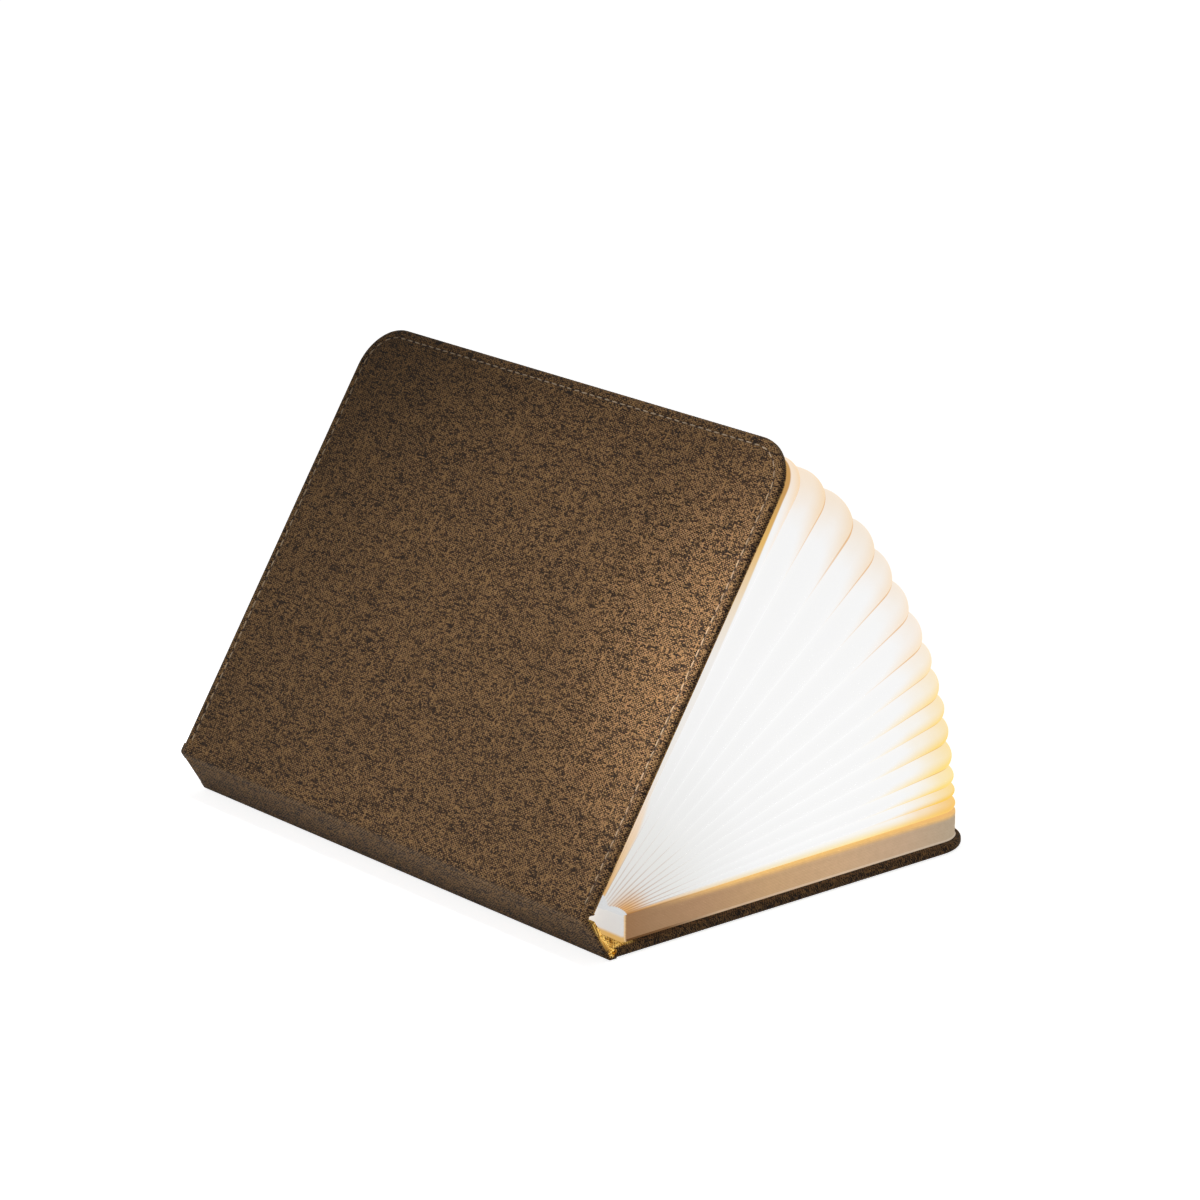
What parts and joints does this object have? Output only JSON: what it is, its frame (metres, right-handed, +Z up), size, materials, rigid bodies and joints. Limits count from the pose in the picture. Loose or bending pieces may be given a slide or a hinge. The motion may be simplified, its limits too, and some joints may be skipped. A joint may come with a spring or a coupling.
{
  "type": "folding book lamp",
  "caption": "Cloth-bound book whose folded paper pages fan open round a battery light bar along the spine, to stand as a lamp.",
  "frame": {"origin": "centre of the rear cover's flat bottom face, which lies on the table", "axes": "+X from the spine to the rear cover's fore-edge, +Y along the spine from the head end to the tail end with the charging socket, +Z up"},
  "size_m": [0.1724, 0.215, 0.1528],
  "materials": {
    "linen_cloth": "woven linen look, matt, light and dark slubs",
    "greyboard": "raw pressed board",
    "end_paper": "matt paper",
    "thread": "twisted sewing thread",
    "magnet": "plated",
    "closed_pages": "matt paper edges",
    "fold_paper": "thin translucent paper, lit from inside",
    "foam_tape": "soft",
    "tray_metal": "extruded",
    "opal_plastic": "opal",
    "cap_plastic": "moulded",
    "screw_steel": "plated",
    "white_board": "white solder mask",
    "led_chip": "phosphor",
    "black_plastic": "moulded",
    "green_board": "solder mask",
    "socket_steel": "pressed",
    "indicator_plastic": "clear moulded",
    "battery_film": "foil pouch",
    "foam_rubber": "cellular",
    "lead_insulation": "insulated wire"
  },
  "bodies": {
    "rear_cover": {"rear_cloth": "linen_cloth", "rear_board": "greyboard", "rear_lining": "end_paper", "rear_stitching": "thread", "rear_magnets": "magnet", "rear_end_paper": "end_paper", "rear_page_block": "closed_pages", "rear_hinge_cloth": "linen_cloth"},
    "spine": {"spine_cloth": "linen_cloth", "spine_board": "greyboard", "spine_lining": "end_paper", "mounting_tape": "foam_tape", "bar_tray": "tray_metal", "diffuser": "opal_plastic", "head_end_cap": "cap_plastic", "tail_end_cap": "cap_plastic", "cap_screws": "screw_steel", "led_board": "white_board", "leds": "led_chip", "cover_sensor": "black_plastic", "control_board": "green_board", "control_chips": "black_plastic", "charging_socket": "socket_steel", "socket_tongue": "black_plastic", "charge_indicator": "indicator_plastic", "battery": "battery_film", "battery_pads": "foam_rubber", "battery_leads": "lead_insulation"},
    "front_cover": {"front_cloth": "linen_cloth", "front_board": "greyboard", "front_lining": "end_paper", "front_stitching": "thread", "front_magnets": "magnet", "switch_magnet": "magnet", "front_end_paper": "end_paper", "front_page_stack": "closed_pages", "front_hinge_cloth": "linen_cloth"},
    "leaf_01": {"pleat_01": "fold_paper"},
    "leaf_02": {"pleat_02": "fold_paper"},
    "leaf_03": {"pleat_03": "fold_paper"},
    "leaf_04": {"pleat_04": "fold_paper"},
    "leaf_05": {"pleat_05": "fold_paper"},
    "leaf_06": {"pleat_06": "fold_paper"},
    "leaf_07": {"pleat_07": "fold_paper"},
    "leaf_08": {"pleat_08": "fold_paper"},
    "leaf_09": {"pleat_09": "fold_paper"},
    "leaf_10": {"pleat_10": "fold_paper"},
    "leaf_11": {"pleat_11": "fold_paper"},
    "leaf_12": {"pleat_12": "fold_paper"},
    "leaf_13": {"pleat_13": "fold_paper"},
    "leaf_14": {"pleat_14": "fold_paper"},
    "leaf_15": {"pleat_15": "fold_paper"}
  },
  "joints": [
    {"name": "rear_hinge", "type": "hinge", "parent": "rear_cover", "child": "spine", "pos_m": [-0.0822, 0, 0.0015], "axis": [0, -1, 0], "range_deg": [-32.1, 150], "deforming": ["rear_hinge_cloth"]},
    {"name": "front_hinge", "type": "hinge", "parent": "spine", "child": "front_cover", "pos_m": [-0.09107, 0, 0.01565], "axis": [0, -1, 0], "range_deg": [-25.2, 156.9], "deforming": ["front_hinge_cloth"]},
    {"name": "fold_01", "type": "hinge", "parent": "rear_cover", "child": "leaf_01", "pos_m": [-0.0822, 0, 0.0015], "axis": [0, -1, 0], "range_deg": [-1.75, 7.99], "deforming": ["pleat_01"]},
    {"name": "fold_02", "type": "hinge", "parent": "leaf_01", "child": "leaf_02", "pos_m": [-0.0822, 0, 0.0015], "axis": [0, -1, 0], "range_deg": [-1.65, 7.53], "deforming": ["pleat_02"]},
    {"name": "fold_03", "type": "hinge", "parent": "leaf_02", "child": "leaf_03", "pos_m": [-0.0822, 0, 0.0015], "axis": [0, -1, 0], "range_deg": [-2.25, 10.33], "deforming": ["pleat_03"]},
    {"name": "fold_04", "type": "hinge", "parent": "leaf_03", "child": "leaf_04", "pos_m": [-0.0822, 0, 0.0015], "axis": [0, -1, 0], "range_deg": [-3.35, 15.47], "deforming": ["pleat_04"]},
    {"name": "fold_05", "type": "hinge", "parent": "leaf_04", "child": "leaf_05", "pos_m": [-0.0822, 0, 0.0015], "axis": [0, -1, 0], "range_deg": [-3.25, 15], "deforming": ["pleat_05"]},
    {"name": "fold_06", "type": "hinge", "parent": "leaf_05", "child": "leaf_06", "pos_m": [-0.0822, 0, 0.0015], "axis": [0, -1, 0], "range_deg": [-3.05, 14.07], "deforming": ["pleat_06"]},
    {"name": "fold_07", "type": "hinge", "parent": "leaf_06", "child": "leaf_07", "pos_m": [-0.0822, 0, 0.0015], "axis": [0, -1, 0], "range_deg": [-3.85, 17.81], "deforming": ["pleat_07"]},
    {"name": "fold_08", "type": "hinge", "parent": "leaf_07", "child": "leaf_08", "pos_m": [-0.0822, 0, 0.0015], "axis": [0, -1, 0], "range_deg": [-3.65, 16.87], "deforming": ["pleat_08"]},
    {"name": "fold_09", "type": "hinge", "parent": "leaf_08", "child": "leaf_09", "pos_m": [-0.0822, 0, 0.0015], "axis": [0, -1, 0], "range_deg": [-4.75, 22.01], "deforming": ["pleat_09"]},
    {"name": "fold_10", "type": "hinge", "parent": "leaf_09", "child": "leaf_10", "pos_m": [-0.0822, 0, 0.0015], "axis": [0, -1, 0], "range_deg": [-5.05, 23.41], "deforming": ["pleat_10"]},
    {"name": "fold_11", "type": "hinge", "parent": "spine", "child": "leaf_11", "pos_m": [-0.09107, 0, 0.01565], "axis": [0, -1, 0], "range_deg": [-5.25, 32.43], "deforming": ["pleat_11"]},
    {"name": "fold_12", "type": "hinge", "parent": "leaf_11", "child": "leaf_12", "pos_m": [-0.09107, 0, 0.01565], "axis": [0, -1, 0], "range_deg": [-5.35, 33.05], "deforming": ["pleat_12"]},
    {"name": "fold_13", "type": "hinge", "parent": "leaf_12", "child": "leaf_13", "pos_m": [-0.09107, 0, 0.01565], "axis": [0, -1, 0], "range_deg": [-6.25, 38.65], "deforming": ["pleat_13"]},
    {"name": "fold_14", "type": "hinge", "parent": "leaf_13", "child": "leaf_14", "pos_m": [-0.09107, 0, 0.01565], "axis": [0, -1, 0], "range_deg": [-5.25, 32.43], "deforming": ["pleat_14"]},
    {"name": "fold_15", "type": "hinge", "parent": "leaf_14", "child": "leaf_15", "pos_m": [-0.09107, 0, 0.01565], "axis": [0, -1, 0], "range_deg": [-3.35, 20.6], "deforming": ["pleat_15"]}
  ],
  "couplings": [
    {"joint": "fold_01", "follows": "rear_hinge", "ratio": 0.052959},
    {"joint": "fold_02", "follows": "rear_hinge", "ratio": 0.049844},
    {"joint": "fold_03", "follows": "rear_hinge", "ratio": 0.068536},
    {"joint": "fold_04", "follows": "rear_hinge", "ratio": 0.1028},
    {"joint": "fold_05", "follows": "rear_hinge", "ratio": 0.099688},
    {"joint": "fold_06", "follows": "rear_hinge", "ratio": 0.093458},
    {"joint": "fold_07", "follows": "rear_hinge", "ratio": 0.11838},
    {"joint": "fold_08", "follows": "rear_hinge", "ratio": 0.11215},
    {"joint": "fold_09", "follows": "rear_hinge", "ratio": 0.14642},
    {"joint": "fold_10", "follows": "rear_hinge", "ratio": 0.15576},
    {"joint": "fold_11", "follows": "front_hinge", "ratio": 0.20635},
    {"joint": "fold_12", "follows": "front_hinge", "ratio": 0.21032},
    {"joint": "fold_13", "follows": "front_hinge", "ratio": 0.24603},
    {"joint": "fold_14", "follows": "front_hinge", "ratio": 0.20635},
    {"joint": "fold_15", "follows": "front_hinge", "ratio": 0.13095}
  ]
}
